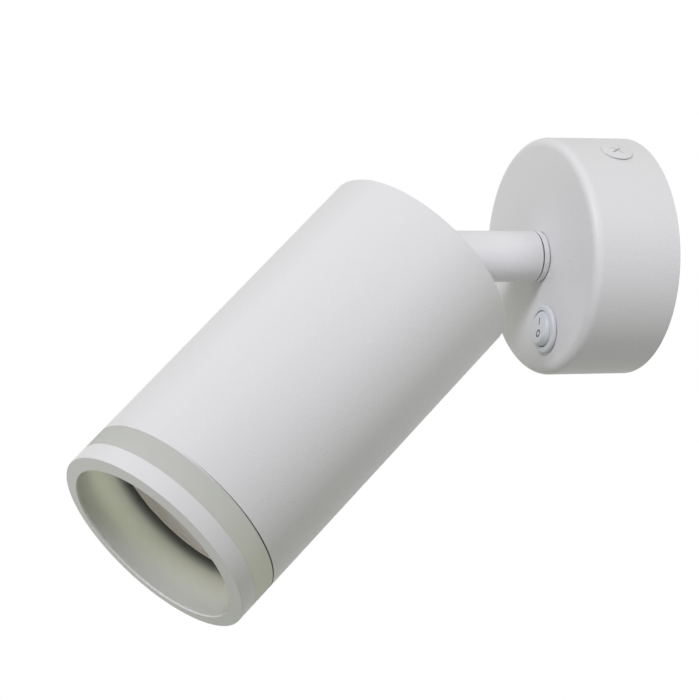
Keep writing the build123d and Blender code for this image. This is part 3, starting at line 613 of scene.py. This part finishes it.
for mark in (onMark, offMark):
    only(mark)
    bpy.ops.object.transform_apply(location=True, rotation=True, scale=True)
    applied(mark, "SHRINKWRAP", target=rocker, wrap_method="PROJECT", use_project_z=True,
            use_negative_direction=True, use_positive_direction=False, offset=markLook["height"])
    applied(mark, "SOLIDIFY", thickness=markLook["height"], offset=-1)
    cleanMesh(1e-5)
    settle(mark, rockerPlace, "rocker", printedInk, None)
softenEdges(rocker, rockerLook["edge"])
settle(rocker, rockerPlace, "rocker", switchPlastic, "switch_plastic", "switch_rocker")
print("switch made")

# Collar and arm
collarLow, collarFront = spanOf("swivel_bush", wallPlace)
armStart, armEnd = spanOf("arm_tube", wallPlace)
armBore = boreOf("arm_tube", wallPlace)
armLook = {"edge": 0.1}
armTube = turnOnLathe("armTube", eased([
    (armBore, armStart), (armRadius, armStart), (armRadius, armEnd), (armBore, armEnd)],
    armLook["edge"]), smallRound)
smoothed(armTube)
settle(armTube, wallPlace, "arm", whiteCoat, "white_coat", "arm_tube")
collarBore = boreOf("swivel_bush", wallPlace)
spigot = bushBore - pressFit
grooveTop = canopyDepth + collarLook["grooveWidth"]
swivelCollar = turnOnLathe("swivelCollar", eased([
    (collarBore, collarLow), (spigot, collarLow), (spigot, canopyDepth, crisp),
    (grooveRadius, canopyDepth, crisp), (grooveRadius, grooveTop, crisp), (armRadius, grooveTop),
    (armRadius, collarFront), (collarBore, collarFront - collarLook["dish"])],
    collarLook["edge"]), smallRound)
smoothed(swivelCollar)
settle(swivelCollar, wallPlace, "base", whiteCoat, "white_coat", "swivel_bush")
print("arm made")

# Wall plate and cable bush in the canopy's open back
backLook = {
    "wallPlate": ("wall_plate", zincSteel, 0.12),
    "cableGrommet": ("cable_grommet", blackRubber, 0.25)}
for name, (node, finish, edge) in backLook.items():
    piece = polishedCopy(name, node, wallPlace, edge)
    settle(piece, wallPlace, "base", finish, slotNames[finish], node)
print("back made")

# Camera at the photograph's angle
photoCamera = {
    "target": (-26.25, -74.42, -21.17), "distance": 943.64, "azimuth": 64.906, "elevation": -8.873,
    "roll": -4.988, "lens": 174.307, "sensor": 36, "nearest": 0.05, "farthest": 20}
azimuth = math.radians(photoCamera["azimuth"])
elevation = math.radians(photoCamera["elevation"])
back = Vector((
    math.sin(azimuth) * math.cos(elevation), -math.cos(azimuth) * math.cos(elevation), math.sin(elevation)))
deselect()
bpy.ops.object.camera_add(location=(Vector(photoCamera["target"]) + back * photoCamera["distance"]) * mm)
camera = bpy.context.active_object
camera.name = "photoCamera"
roll = Matrix.Rotation(math.radians(photoCamera["roll"]), 4, "Z")
camera.matrix_world = (
    Matrix.Translation(camera.location) @ (-back).to_track_quat("-Z", "Y").to_matrix().to_4x4() @ roll)
camera.data.lens = photoCamera["lens"]
camera.data.sensor_width = photoCamera["sensor"]
camera.data.clip_start = photoCamera["nearest"]
camera.data.clip_end = photoCamera["farthest"]
bpy.context.scene.camera = camera

# Studio light: a key from the right, a broad front and top, and two narrow beams on the canopy
lightLook = {
    "key": {"power": 8.05, "size": 0.30, "from": (0.845, -0.896, 0.508), "tint": (0.917, 0.885, 1.0)},
    "front": {"power": 1.82, "size": 0.70, "from": (-0.335, -1.311, -0.133), "tint": (1.0, 0.986, 0.879)},
    "top": {"power": 1.72, "size": 0.70, "from": (-0.168, -0.688, 1.106), "tint": (0.99, 0.97, 1.0)},
    "side": {
        "power": 0.0418, "size": 0.22, "from": (0.363, 0.077, 0.127), "tint": (0.984, 1.0, 0.931),
        "spread": 60},
    "low": {
        "power": 0.0214, "size": 0.22, "from": (0.373, 0.080, -0.113), "tint": (0.79, 0.67, 1.0),
        "spread": 60}}
lightAim, canopyAim = Vector((0, -0.05, -0.02)), Vector((0.033, -0.013, 0))
for name, look in lightLook.items():
    deselect()
    bpy.ops.object.light_add(type="AREA", location=look["from"])
    lamp = bpy.context.active_object
    lamp.name = name + "Light"
    lamp.data.shape = "DISK"
    lamp.data.size = look["size"]
    lamp.data.energy = look["power"]
    lamp.data.color = look["tint"]
    aim = lightAim - Vector(look["from"])
    if "spread" in look:
        # The beam fades out towards the front of the head
        lamp.data.spread = math.radians(look["spread"])
        aim = canopyAim - Vector(look["from"])
    lamp.rotation_euler = aim.to_track_quat("-Z", "Y").to_euler()

worldLook = {"ambient": 0.254, "ambientTint": (0.956, 1.0, 0.854), "background": 1.0}
world = bpy.data.worlds.new("studio")
bpy.context.scene.world = world
world.use_nodes = True
nodes, links = world.node_tree.nodes, world.node_tree.links
ambient = nodes["Background"]
ambient.inputs["Color"].default_value = (*worldLook["ambientTint"], 1)
ambient.inputs["Strength"].default_value = worldLook["ambient"]
backdrop = nodes.new("ShaderNodeBackground")
backdrop.inputs["Color"].default_value = (1, 1, 1, 1)
backdrop.inputs["Strength"].default_value = worldLook["background"]
path = nodes.new("ShaderNodeLightPath")
seen = nodes.new("ShaderNodeMath")
seen.operation = "MAXIMUM"
links.new(path.outputs["Is Camera Ray"], seen.inputs[0])
links.new(path.outputs["Is Glossy Ray"], seen.inputs[1])
seenThrough = nodes.new("ShaderNodeMath")
seenThrough.operation = "MAXIMUM"
links.new(seen.outputs["Value"], seenThrough.inputs[0])
links.new(path.outputs["Is Transmission Ray"], seenThrough.inputs[1])
choice = nodes.new("ShaderNodeMixShader")
links.new(seenThrough.outputs["Value"], choice.inputs["Fac"])
links.new(ambient.outputs["Background"], choice.inputs[1])
links.new(backdrop.outputs["Background"], choice.inputs[2])
links.new(choice.outputs["Shader"], nodes["World Output"].inputs["Surface"])

bpy.context.scene.view_settings.view_transform = "Standard"
print("scene ready")
